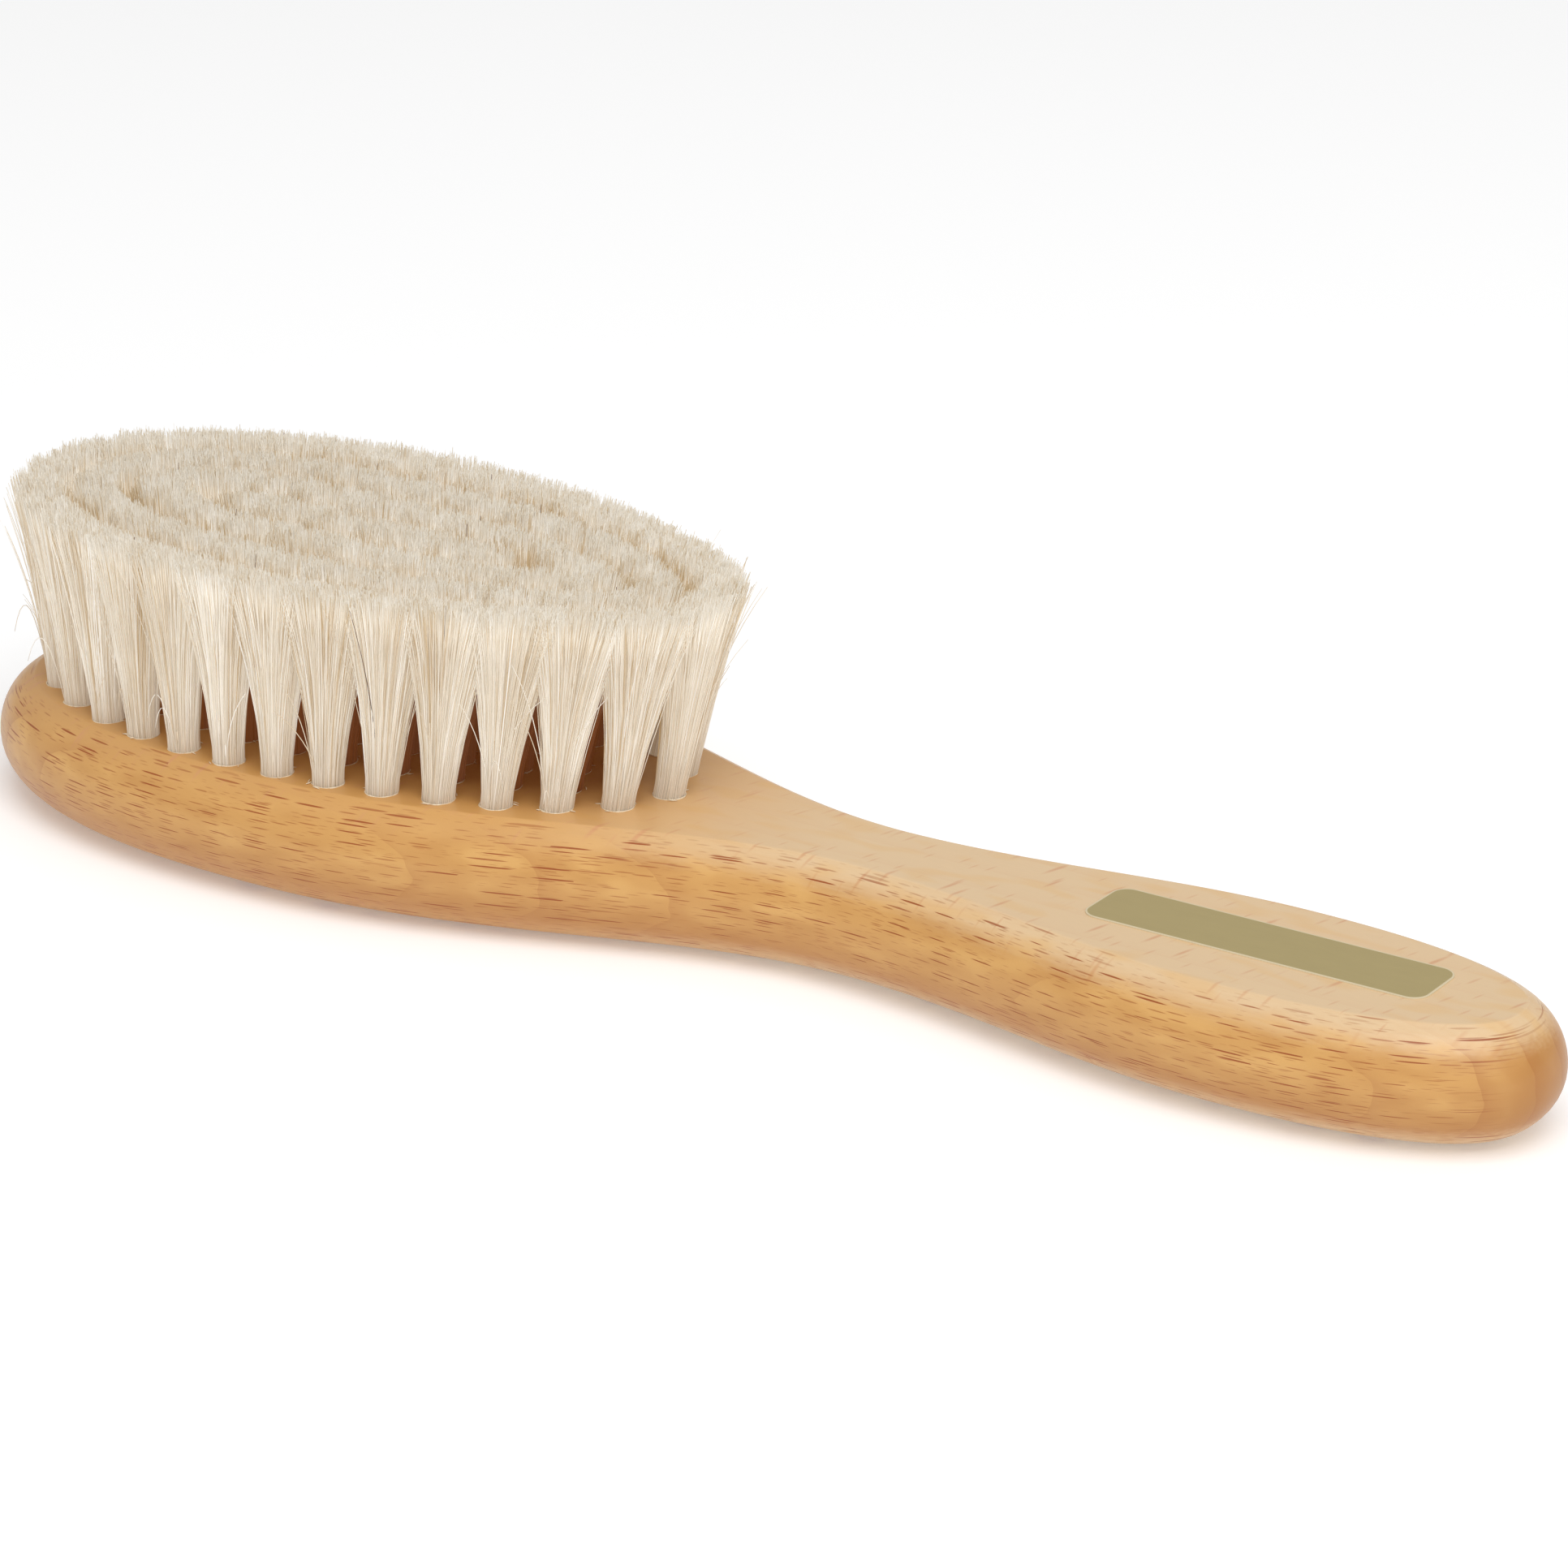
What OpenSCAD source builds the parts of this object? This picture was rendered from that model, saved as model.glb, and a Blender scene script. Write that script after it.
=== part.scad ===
// Soft hair brush with a one-piece wooden body: an egg-shaped head, a waisted neck and a
// rounded handle. The head is drilled with blind bores that fan out slightly. Each bore holds
// a bundle of hair folded over a small flat metal anchor, and the hair is trimmed level.
// The brush lies on its flat back with the hair up, and +X runs towards the handle's end.
// Millimetres. The origin is below the middle of the brush, on the surface it lies on.

/* [Body] */
// Length of the wood from the nose to the end of the handle
body_l = 175; // [155:1:200]
// Thickness of the wood
body_t = 12.2; // [11:0.1:15]
// Width of the head at its widest place
head_w = 45.4; // [42:0.2:52]
// Distance from the nose to the widest place of the head
head_reach = 39; // [36:0.5:43]
// Width of the neck at its narrowest place
neck_w = 17.2; // [16:0.1:22]
// Distance from the nose to the narrowest place of the neck
neck_reach = 104.4; // [98:0.2:112]
// Width of the handle at its widest place
grip_w = 26.8; // [24:0.1:32]
// Distance from the widest place of the handle to its end
grip_reach = 30; // [26:1:34]
// Fullness of the two rounded ends, where 2 is an ellipse
end_fullness = 2.25; // [2:0.05:2.4]
// How late the head starts to narrow towards the neck, where 1 is at once
neck_delay = 1.2; // [1:0.05:1.3]

/* [Rounded edges] */
// Width of the rounding along the top edge
top_round_w = 4; // [2:0.1:5]
// Height of the rounding along the top edge
top_round_h = 5.9; // [3:0.1:7]
// Slope of the wood where the flat top ends and the rounding starts, in degrees
top_edge_slope = 14; // [0:1:30]
// Width of the rounding along the edge of the back
back_round_w = 7; // [5:0.1:7.5]

/* [Bores] */
// Diameter of each bore
bore_d = 3.2; // [2.8:0.1:3.6]
// Depth of each bore along its axis
bore_depth = 8.5; // [7:0.5:9]
// Distance from the edge of the head to the middle of the outermost bores
bore_margin = 5.8; // [5.6:0.1:7]
// Length of the bored field, between the middles of its two end bores
field_l = 74.4; // [68:0.2:78]
// How much the field narrows towards the neck, where 0 is an ellipse
field_taper = 0.12; // [0:0.01:0.2]
// Number of bores in the outer ring
outer_count = 30; // [26:1:30]
// Number of bores in the middle ring
middle_count = 24; // [20:1:24]
// Number of bores in the inner ring
inner_count = 18; // [14:1:18]
// Number of bores in the row down the centre
centre_count = 6; // [4:1:6]

/* [Hair] */
// Length of the hair that stands out of the wood
hair_h = 20.8; // [16:0.1:24]
// How far the tufts fan out sideways at the trimmed top, as a share of their distance from the
// centre line
fan_ratio_across = 0.095; // [0.04:0.005:0.12]
// How far the tufts fan out lengthwise at the trimmed top, as a share of their distance from the
// tufts that stand upright
fan_ratio_along = 0.07; // [0.02:0.005:0.09]
// Distance from the nose to the tufts that stand upright lengthwise
upright_reach = 17.5; // [14:0.5:30]
// Length of each tuft above the wood that stays as narrow as its bore
straight_h = 1; // [0.5:0.1:3]
// Gap between the trimmed ends of two neighbouring tufts
tuft_gap = 0.3; // [0.2:0.1:1]
// Clearance round each tuft in its bore
bore_gap = 0.08; // [0.05:0.01:0.15]

/* [Anchors] */
// Length of the flat anchor across its bore, with the ends that bite into the wood
anchor_l = 3.9; // [3.8:0.1:4.4]
// Thickness of the flat anchor
anchor_t = 0.4; // [0.3:0.05:0.6]
// Height of the flat anchor along the bore
anchor_h = 1.6; // [1:0.1:2.4]
// Hair between the anchor and the floor of the bore
anchor_lift = 0.7; // [0.5:0.1:1.2]
// Clearance round each anchor
anchor_gap = 0.05; // [0.03:0.01:0.1]

/* [Label] */
// Length of the foil label
label_l = 35; // [28:0.5:36]
// Width of the foil label
label_w = 7.7; // [6:0.1:9]
// Thickness of the foil label
label_t = 0.12; // [0.08:0.01:0.2]
// Radius of the corners of the label
label_corner = 1.7; // [0.5:0.1:2.5]
// Distance from the end of the handle to the end of the label
label_end_gap = 12; // [11:0.5:18]
// Distance of the label from the centre line of the handle
label_shift = 0.8; // [0:0.1:1.5]

/* [Hidden] */
ring_names = ["outer", "middle"];
ring_counts = [outer_count, middle_count];
tuft_names = [for (r = [0:1]) for (i = [1:ring_counts[r]]) str("tuft_", ring_names[r], "_", i)];

wood_colour = "#e0b578";
label_colour = "#a89d70";
hair_colour = "#ebe0cc";
anchor_colour = "#b9bbbf";

// Places along the body
nose_x = -body_l / 2;
head_x = nose_x + head_reach;
neck_x = nose_x + neck_reach;
tail_x = body_l / 2;
grip_x = tail_x - grip_reach;
shoulder_z = body_t - top_round_h;

// Steps of the faceted outline and of its rounded edges
end_steps = 10;
waist_steps = 14;
grip_steps = 9;
round_steps = 4;

// Round of an end as shares of its [length, half width], from its tip at 0 degrees to its root
// at 90
function end_round(a) = [pow(cos(a), 2 / end_fullness), pow(sin(a), 2 / end_fullness)];

// Smooth step from a to b
function ease(a, b, t) = (a + b) / 2 + (a - b) / 2 * cos(180 * t);

// One side of the outline from nose to tail, drawn in by an inset
function outline_side(inset) = concat(
    [for (i = [0:end_steps]) let (q = end_round(90 * i / end_steps))
        [head_x - (head_reach - inset) * q[0], (head_w / 2 - inset) * q[1]]],
    [for (i = [1:waist_steps]) let (t = i / waist_steps)
        [head_x + (neck_x - head_x) * t, ease(head_w, neck_w, pow(t, neck_delay)) / 2 - inset]],
    [for (i = [1:grip_steps]) let (t = i / grip_steps)
        [neck_x + (grip_x - neck_x) * t, ease(neck_w, grip_w, t) / 2 - inset]],
    [for (i = [1:end_steps]) let (q = end_round(90 - 90 * i / end_steps))
        [grip_x + (grip_reach - inset) * q[0], (grip_w / 2 - inset) * q[1]]]
);

// Levels of the rounded edge, from the back to the flat top, as [inset, height]
top_span = 90 - top_edge_slope;
top_reach = 1 - sin(top_edge_slope);
top_rise = cos(top_edge_slope);
edge_levels = concat(
    [for (i = [0:round_steps]) let (a = 90 - 90 * i / round_steps)
        [back_round_w * (1 - cos(a)), shoulder_z * (1 - sin(a))]],
    [for (i = [1:round_steps]) let (a = top_span * i / round_steps)
        [top_round_w * (1 - cos(a)) / top_reach, shoulder_z + top_round_h * sin(a) / top_rise]]
);

// Oval that the bores of one ring stand on, at angle t
field_x = nose_x + bore_margin + field_l / 2;
field_w = head_w - 2 * bore_margin;
ring_count = 3;
row_pitch = field_w / 2 / ring_count;
function oval(inset, t) = [
    field_x + (field_l / 2 - inset) * cos(t),
    (field_w / 2 - inset) * sin(t) * (1 - field_taper * cos(t))
];

// Length along an oval as a table of [length, angle]
oval_steps = 180;
oval_turn = 360 / oval_steps;
function oval_lengths(inset) = [
    for (i = 0, s = 0;
        i <= oval_steps;
        s = s + norm(oval(inset, (i + 1) * oval_turn) - oval(inset, i * oval_turn)), i = i + 1)
        [s, i * oval_turn]
];

// Bores of one ring, spaced evenly along its oval from the end nearest the neck
function ring(inset, count) =
    let (table = oval_lengths(inset), total = table[oval_steps][0])
    [for (k = [0:count - 1]) oval(inset, lookup(k * total / count, table))];

outer_bores = ring(0, outer_count);
middle_bores = ring(row_pitch, middle_count);
inner_bores = ring(2 * row_pitch, inner_count);
inner_pitch = norm(inner_bores[1] - inner_bores[0]);
centre_bores = [for (k = [0:centre_count - 1]) [field_x + (k - (centre_count - 1) / 2) * inner_pitch, 0]];
all_bores = concat(outer_bores, middle_bores, inner_bores, centre_bores);

// Where a tuft's axis meets the trimmed top, relative to its bore
upright_x = nose_x + upright_reach;
function lean(p) = [fan_ratio_along * (p[0] - upright_x), fan_ratio_across * p[1]];

// Radius of a tuft at the trimmed top: half the way to its nearest neighbour there
all_tops = [for (p = all_bores) p + lean(p)];
itself = 0.01;
function nearest(top) = min([for (q = all_tops) let (d = norm(top - q)) if (d > itself) d]);
function tuft_top_r(p) = (nearest(p + lean(p)) - tuft_gap) / 2;

tuft_r = bore_d / 2 - bore_gap;

// How far cutters reach past what they cut, and the sides of the round pieces
cutter_over = 1;
bore_sides = 48;
tuft_sides = 32;
corner_sides = 32;

// Puts children on a bore's axis, with the bore's mouth at z = 0
module on_bore(p) {
    turn = atan2(lean(p)[1], lean(p)[0]);
    translate([p[0], p[1], body_t])
        rotate([0, 0, turn])
            rotate([0, atan(norm(lean(p)) / hair_h), 0])
                rotate([0, 0, -turn])
                    children();
}

// Flat anchor plate across the bore, grown on every side by a clearance
module anchor_plate(grow) {
    translate([-anchor_l / 2 - grow, -anchor_t / 2 - grow, -bore_depth + anchor_lift - grow])
        cube([anchor_l + 2 * grow, anchor_t + 2 * grow, anchor_h + 2 * grow]);
}

// The outline at every level of the rounded edge, skinned from the back to the flat top
module wood_blank() {
    stations = len(outline_side(0));
    loop_n = 2 * stations - 2;
    points = [for (level = edge_levels) let (side = outline_side(level[0]))
        for (i = [0:loop_n - 1])
            i < stations
                ? [side[i][0], side[i][1], level[1]]
                : [side[loop_n - i][0], -side[loop_n - i][1], level[1]]];
    skin = [for (k = [0:len(edge_levels) - 2]) for (i = [0:loop_n - 1])
        let (j = (i + 1) % loop_n)
        for (face = [
            [k * loop_n + i, k * loop_n + j, (k + 1) * loop_n + j],
            [k * loop_n + i, (k + 1) * loop_n + j, (k + 1) * loop_n + i]])
            face];
    top_base = (len(edge_levels) - 1) * loop_n;
    strips = [for (i = [0:stations - 2])
        i == 0 ? [0, 1, loop_n - 1]
            : i == stations - 2 ? [i, i + 1, loop_n - i]
            : [i, i + 1, loop_n - i - 1, loop_n - i]];
    back_cap = [for (s = strips) [for (i = [len(s) - 1:-1:0]) s[i]]];
    top_cap = [for (s = strips) [for (i = s) top_base + i]];
    polyhedron(points = points, faces = concat(skin, back_cap, top_cap), convexity = 4);
}

// Body with a bore and an anchor slot for each tuft
module wood_body() {
    color(wood_colour)
        difference() {
            wood_blank();
            for (p = all_bores)
                on_bore(p) {
                    translate([0, 0, -bore_depth])
                        cylinder(d = bore_d, h = bore_depth + cutter_over, $fn = bore_sides);
                    anchor_plate(anchor_gap);
                }
        }
}

// Space round the head below the level that the hair is trimmed to
module below_trim() {
    translate([nose_x - body_t, -head_w, 0])
        cube([body_l, 2 * head_w, body_t + hair_h]);
}

// Tuft: a tight round bundle in its bore that fans out above the wood and is trimmed level,
// with a slot where it is folded over its anchor
module tuft(p) {
    top_r = tuft_top_r(p);
    overshoot = 2 * top_r * norm(lean(p)) / hair_h;
    cone_h = hair_h + overshoot - straight_h;
    grown_r = tuft_r + (top_r - tuft_r) * cone_h / (hair_h - straight_h);
    color(hair_colour)
        intersection() {
            on_bore(p)
                difference() {
                    union() {
                        translate([0, 0, -bore_depth])
                            cylinder(r = tuft_r, h = bore_depth + straight_h, $fn = tuft_sides);
                        translate([0, 0, straight_h])
                            cylinder(r1 = tuft_r, r2 = grown_r, h = cone_h, $fn = tuft_sides);
                    }
                    anchor_plate(anchor_gap);
                }
            below_trim();
        }
}

// Small flat anchor that holds the fold of one tuft
module anchor(p) {
    color(anchor_colour)
        on_bore(p)
            anchor_plate(0);
}

// Thin foil label with rounded corners, stuck to the flat of the handle
module label() {
    label_x = tail_x - label_end_gap - label_l / 2;
    color(label_colour)
        translate([label_x, label_shift, body_t])
            linear_extrude(label_t)
                union() {
                    square([label_l - 2 * label_corner, label_w], center = true);
                    square([label_l, label_w - 2 * label_corner], center = true);
                    for (x = [-1, 1], y = [-1, 1])
                        translate([x * (label_l / 2 - label_corner), y * (label_w / 2 - label_corner)])
                            circle(r = label_corner, $fn = corner_sides);
                }
}

wood_body();
label();
for (i = [1:outer_count])
    tuft(outer_bores[i - 1]);
for (i = [1:middle_count])
    tuft(middle_bores[i - 1]);
for (p = inner_bores) tuft(p);  // tufts_inner
for (p = centre_bores) tuft(p);  // tufts_centre
for (p = all_bores) anchor(p);  // tuft_anchors
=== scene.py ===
"""Soft hair brush with a one-piece beech body, laid out as an add-on and run as a script.

One operator makes each piece or group of like pieces: the wood with its blind bores, the tufts
of hair, the loose hairs, the drilling burrs, the foil label, the finish of the anchors, and the
stage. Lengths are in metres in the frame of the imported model, whose +X runs towards the end of
the handle and whose +Z runs up through the hair.
"""

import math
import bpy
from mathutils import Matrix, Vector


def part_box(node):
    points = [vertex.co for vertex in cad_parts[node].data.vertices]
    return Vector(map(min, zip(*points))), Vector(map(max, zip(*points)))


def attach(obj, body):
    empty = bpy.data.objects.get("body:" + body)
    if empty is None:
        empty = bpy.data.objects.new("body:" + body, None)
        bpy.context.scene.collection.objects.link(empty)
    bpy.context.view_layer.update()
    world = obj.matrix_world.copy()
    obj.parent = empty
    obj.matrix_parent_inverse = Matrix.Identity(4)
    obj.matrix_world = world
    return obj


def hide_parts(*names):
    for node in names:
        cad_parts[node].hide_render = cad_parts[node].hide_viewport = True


bl_info = {
    "name": "Soft Hair Brush",
    "version": (1, 0, 0),
    "blender": (4, 5, 0),
    "location": "3D View > Sidebar > Brush",
    "description": "Builds a wooden brush with tufts of soft hair on its packed frame",
    "category": "Add Mesh",
}

import bpy
import numpy as np
from mathutils import Matrix, Vector
from mathutils.geometry import delaunay_2d_cdt

MM = 0.001
BODY = "root"
BAKE_MAP = "OFBake"

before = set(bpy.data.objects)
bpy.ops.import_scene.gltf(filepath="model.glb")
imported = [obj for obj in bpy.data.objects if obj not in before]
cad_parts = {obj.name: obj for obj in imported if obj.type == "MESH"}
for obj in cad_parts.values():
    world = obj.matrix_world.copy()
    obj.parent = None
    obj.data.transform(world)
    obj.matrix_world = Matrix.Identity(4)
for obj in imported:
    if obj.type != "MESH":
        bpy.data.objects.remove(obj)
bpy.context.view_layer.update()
WOOD_LOW, WOOD_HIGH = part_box("wood_body")
TUFT_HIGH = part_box("tuft_outer_1")[1]
LABEL_LOW, LABEL_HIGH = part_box("label")


# ---- settings


def titled(group):
    """Names each setting of a group after its own line: neck_width becomes Neck width."""
    for line, setting in group.__annotations__.items():
        setting.keywords["name"] = line.replace("_", " ").capitalize()
    return group


def size_of(text, value):
    """A length in metres."""
    return bpy.props.FloatProperty(description=text, default=value, unit="LENGTH", precision=5)


def share_of(text, value):
    """A plain number."""
    return bpy.props.FloatProperty(description=text, default=value, precision=3)


def angle_of(text, degrees):
    """An angle, given in degrees and kept in radians."""
    value = math.radians(degrees)
    return bpy.props.FloatProperty(description=text, default=value, unit="ROTATION")


def count_of(text, value):
    """A whole number."""
    return bpy.props.IntProperty(description=text, default=value, min=0)


def colour_of(text, code):
    """A colour, given as a hex code of its display value and kept scene-linear."""
    display = np.array([int(code[i : i + 2], 16) for i in (0, 2, 4)]) / 255
    linear = np.where(display <= 0.04045, display / 12.92, ((display + 0.055) / 1.055) ** 2.4)
    return bpy.props.FloatVectorProperty(
        description=text, default=(*linear.tolist(), 1.0), size=4, min=0, max=1, subtype="COLOR"
    )


@titled
class WoodSizes(bpy.types.PropertyGroup):
    """Sizes of the one-piece wooden body"""

    length: size_of("From the nose to the end of the handle", (WOOD_HIGH - WOOD_LOW).x)
    thickness: size_of("From the back to the flat top", WOOD_HIGH.z)
    head_width: size_of("Widest place of the head", (WOOD_HIGH - WOOD_LOW).y)
    head_reach: size_of("From the nose to the widest place", 39 * MM)
    neck_width: size_of("Narrowest place of the neck", 17.2 * MM)
    neck_reach: size_of("From the nose to the narrowest place", 104.4 * MM)
    grip_width: size_of("Widest place of the handle", 26.8 * MM)
    grip_reach: size_of("From the widest place of the handle to its end", 30 * MM)
    end_fullness: share_of("Fullness of the two round ends; 2 is an ellipse", 2.25)
    neck_delay: share_of("How late the head narrows towards the neck", 1.2)
    top_round_width: size_of("Width of the top edge's rounding", 4 * MM)
    top_round_height: size_of("Height of that rounding", 5.9 * MM)
    top_edge_slope: angle_of("Slope where the flat top ends", 14)
    back_round_width: size_of("Width of the back edge's rounding", 7 * MM)
    crease_width: size_of("Width that softens the edge of the flat top", 0.25 * MM)
    bore_diameter: size_of("Diameter of each bore", 3.2 * MM)
    bore_depth: size_of("Depth of each bore along its axis", 8.5 * MM)
    rim_chamfer: size_of("Worn edge round the mouth of each bore", 0.06 * MM)


@titled
class TuftSizes(bpy.types.PropertyGroup):
    """Sizes of the tufts and the oval rings that they stand on"""

    bore_margin: size_of("From the edge to the middle of the outermost bores", 5.8 * MM)
    field_length: size_of("Between the middles of the two end bores", 74.4 * MM)
    field_taper: share_of("How much the field narrows towards the neck", 0.12)
    outer_count: count_of("Tufts in the outer ring", 30)
    middle_count: count_of("Tufts in the middle ring", 24)
    inner_count: count_of("Tufts in the inner ring", 18)
    centre_count: count_of("Tufts in the row down the centre", 6)
    height: size_of("Trimmed height above the wood", TUFT_HIGH.z - WOOD_HIGH.z)
    fan_across: share_of("Sideways lean as a share of the place", 0.095)
    fan_along: share_of("Lengthwise lean as a share of the place", 0.07)
    upright_reach: size_of("From the nose to the upright tufts", 17.5 * MM)
    root_radius: size_of("Radius of a tuft in its bore", 1.53 * MM)
    top_across: size_of("Half of a tuft's top, across its ring", 2.6 * MM)
    top_along: size_of("Half of a tuft's top, along its ring", 4.8 * MM)
    nose_pull: share_of("How much less the tufts at the nose fan out", 0.3)
    fan_bend: share_of("How late the hairs start to fan out", 1.65)
    in_bore: size_of("How far the hairs reach down to their anchor", 6 * MM)
    hair_radius: size_of("Radius of a hair", 0.052 * MM)
    outer_hairs: count_of("Hairs in a tuft of the outer ring", 900)
    inner_hairs: count_of("Hairs in each other tuft", 700)
    wisp_pull: share_of("How far the hairs draw together in wisps, from 0 to 1", 0.42)
    scatter: size_of("How far a hair's end strays from its place", 0.4 * MM)
    bow: size_of("How far a hair bows sideways", 0.6 * MM)
    ragged: size_of("How far the trimmed ends differ in height", 0.22 * MM)
    furrow_depth: size_of("How far the trim dips between two rows", 3.6 * MM)
    crossing_hairs: count_of("Loose hairs that cross the gaps", 46)
    flyaway_hairs: count_of("Loose hairs that stand off near the top", 34)
    curled_hairs: count_of("Short curled hairs near the wood", 18)
    dark_hairs: count_of("Dark hairs whose tips show in the top", 12)


@titled
class LabelSizes(bpy.types.PropertyGroup):
    """Sizes of the foil label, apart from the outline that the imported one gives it"""

    corner: size_of("Radius of its corners", 1.7 * MM)
    edge_drop: size_of("Height and width of its worn edge", 0.03 * MM)
    rim: size_of("Width of its pale rim", 0.24 * MM)


@titled
class Finishes(bpy.types.PropertyGroup):
    """Colours of the wood, the hair, the label and the floor"""

    # Painted reflection: the flat top is painted paler where it mirrors the overhead light
    wood_top: colour_of("Sanded flat of the wood", "e2c399")
    wood_side: colour_of("Lacquered round of the wood", "d09c59")
    # Also used as painted shade on faces that turn down and on faces towards the two ends
    wood_deep: colour_of("Darker patches of the round wood", "ae7232")
    wood_band: colour_of("Yellower band along the top edge", "e0b06a")
    wood_ring: colour_of("Late wood at a growth ring", "aa6a36")
    wood_ray: colour_of("Dashes where rays come to the surface", "9a4a14")
    wood_fleck: colour_of("Flecks on the flat wood", "d0956c")
    # Hairs that end in a furrow lean towards this tone as painted shade
    hair_deep: colour_of("Darkest of the pale hairs", "c3a678")
    hair_mid: colour_of("Most of the hairs", "e9dfce")
    hair_light: colour_of("Lightest hairs", "faf5ec")
    # Painted shade: hair low down in the outer tufts is painted greyer
    hair_root: colour_of("Greyer hair near the wood", "d4c5b0")
    # Painted shade: the cut ends are painted duller, so the top that the overhead light reaches
    # most is darker
    hair_cut: colour_of("Duller colour of the trimmed ends", "e0d4be")
    # Painted shade: the deep warm shadow low down among the inner tufts
    hair_shade: colour_of("Dusty brown low down inside the brush", "94521c")
    hair_dark: colour_of("The few dark hairs", "3a322c")
    burr: colour_of("Torn fibres round the bores", "f0e2c8")
    foil: colour_of("Matt foil of the label", "b8a672")
    foil_edge: colour_of("Clear edge of the label", "d9c9a6")
    metal: colour_of("Flat anchors in the bores", "b9bbbf")
    floor: colour_of("Pale floor", "f4f4f4")


@titled
class StageSizes(bpy.types.PropertyGroup):
    """Place of the camera, the lights and the floor"""

    azimuth: angle_of("Direction of the camera round the brush", 34.18)
    elevation: angle_of("Height of the camera above the floor", 21.73)
    distance: size_of("From the camera to the middle of the brush", 495.6 * MM)
    aim_right: size_of("Shift of the view to the right", 5.01 * MM)
    aim_up: size_of("Shift of the view upwards", 13.81 * MM)
    lens: share_of("Focal length in millimetres on a 36 mm sensor", 117.9)
    sky: share_of("Strength of the even light", 0.5)
    key: share_of("Power of the large lamp, in watts", 9.5)
    fill: share_of("Power of the lamp near the camera, in watts", 2.2)
    lamp_side: size_of("Side of each square lamp", 0.9)
    floor_side: size_of("Side of the square floor", 6.0)


# ---- shader helpers


class Wire:
    """A node's output that adds Math nodes when it is used in a Python expression."""

    def __init__(self, maker, socket):
        self.maker = maker
        self.socket = socket

    def maths(self, operation, *values):
        return self.maker.add("ShaderNodeMath", {"operation": operation}, dict(enumerate(values)))

    def __add__(self, other):
        return self.maths("ADD", self, other)

    def __sub__(self, other):
        return self.maths("SUBTRACT", self, other)

    def __mul__(self, other):
        return self.maths("MULTIPLY", self, other)

    def __truediv__(self, other):
        return self.maths("DIVIDE", self, other)

    def __pow__(self, other):
        return self.maths("POWER", self, other)

    def __rsub__(self, other):
        return self.maths("SUBTRACT", other, self)

    __radd__ = __add__
    __rmul__ = __mul__

    def fraction(self):
        return self.maths("FRACT", self)

    def size(self):
        return self.maths("ABSOLUTE", self)

    def step(self, low, high):
        """Smoothly from 0 below low to 1 above high; falls instead where low is above high."""
        return self.maker.add(
            "ShaderNodeMapRange",
            {"interpolation_type": "SMOOTHSTEP", "clamp": True},
            {"Value": self, "From Min": low, "From Max": high},
        )


class Finish:
    """A material of one Principled shader, with one method that adds any other node."""

    def __init__(self, name, **constants):
        self.material = bpy.data.materials.new(name)
        self.material.use_nodes = True
        self.tree = self.material.node_tree
        self.shader = self.tree.nodes["Principled BSDF"]
        self.set(**constants)

    def add(self, kind, settings=None, sockets=None, output=0):
        """Adds a node: its settings first, then the values or links of its sockets."""
        node = self.tree.nodes.new(kind)
        for name, value in (settings or {}).items():
            if name == "stops":
                self.set_stops(node.color_ramp, value)
            else:
                setattr(node, name, value)
        for name, value in (sockets or {}).items():
            self.feed(node.inputs[name], value)
        return Wire(self, node.outputs[output])

    @staticmethod
    def set_stops(ramp, stops):
        while len(ramp.elements) < len(stops):
            ramp.elements.new(1.0)
        for element, (place, colour) in zip(ramp.elements, stops, strict=True):
            element.position = place
            element.color = colour

    def feed(self, socket, value):
        if isinstance(value, Wire):
            self.tree.links.new(value.socket, socket)
        else:
            socket.default_value = value

    def set(self, **sockets):
        """Feeds sockets of the shader, named with _ for each space, and gives the material."""
        for name, value in sockets.items():
            self.feed(self.shader.inputs[name.replace("_", " ")], value)
        return self.material

    def mix(self, factor, first, second, blend="MIX"):
        """The first colour with a share of the second blended in."""
        return self.add(
            "ShaderNodeMix",
            {"data_type": "RGBA", "blend_type": blend, "clamp_factor": True},
            {0: factor, 6: first, 7: second},
            output=2,
        )

    def layered(self, colour, *layers):
        """A colour under layers, each given as its share and its own colour."""
        for share, over in layers:
            colour = self.mix(share, colour, over)
        return colour

    def shaded(self, colour, strength):
        """A colour made darker or lighter by a factor."""
        return self.mix(1.0, colour, self.joined(strength, strength, strength), "MULTIPLY")

    def vector(self, operation, first, second):
        return self.add("ShaderNodeVectorMath", {"operation": operation}, {0: first, 1: second})

    def parts(self, vector):
        """The three parts of a vector."""
        split = self.add("ShaderNodeSeparateXYZ", None, {0: vector}).socket.node
        return [Wire(self, socket) for socket in split.outputs]

    def joined(self, x, y, z):
        return self.add("ShaderNodeCombineXYZ", None, {0: x, 1: y, 2: z})

    def place(self):
        """The point on the piece, in millimetres."""
        own = self.add("ShaderNodeTexCoord", output="Object")
        return self.vector("MULTIPLY", own, (1 / MM, 1 / MM, 1 / MM))

    def noise(self, vector, grain, detail):
        """Cloudy noise whose patches have the three sizes in grain."""
        scaled = self.vector("DIVIDE", vector, grain)
        return self.add("ShaderNodeTexNoise", None, {"Vector": scaled, "Detail": detail}, "Fac")

    def bump(self, height, depth):
        """Normals of a height from 0 to 1 that stands for this depth in metres."""
        return self.add("ShaderNodeBump", None, {"Height": height, "Distance": depth})


# ---- mesh helpers


def new_object(name, data):
    """An object of this data, linked to the scene."""
    made = bpy.data.objects.new(name, data)
    bpy.context.scene.collection.objects.link(made)
    return made


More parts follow.
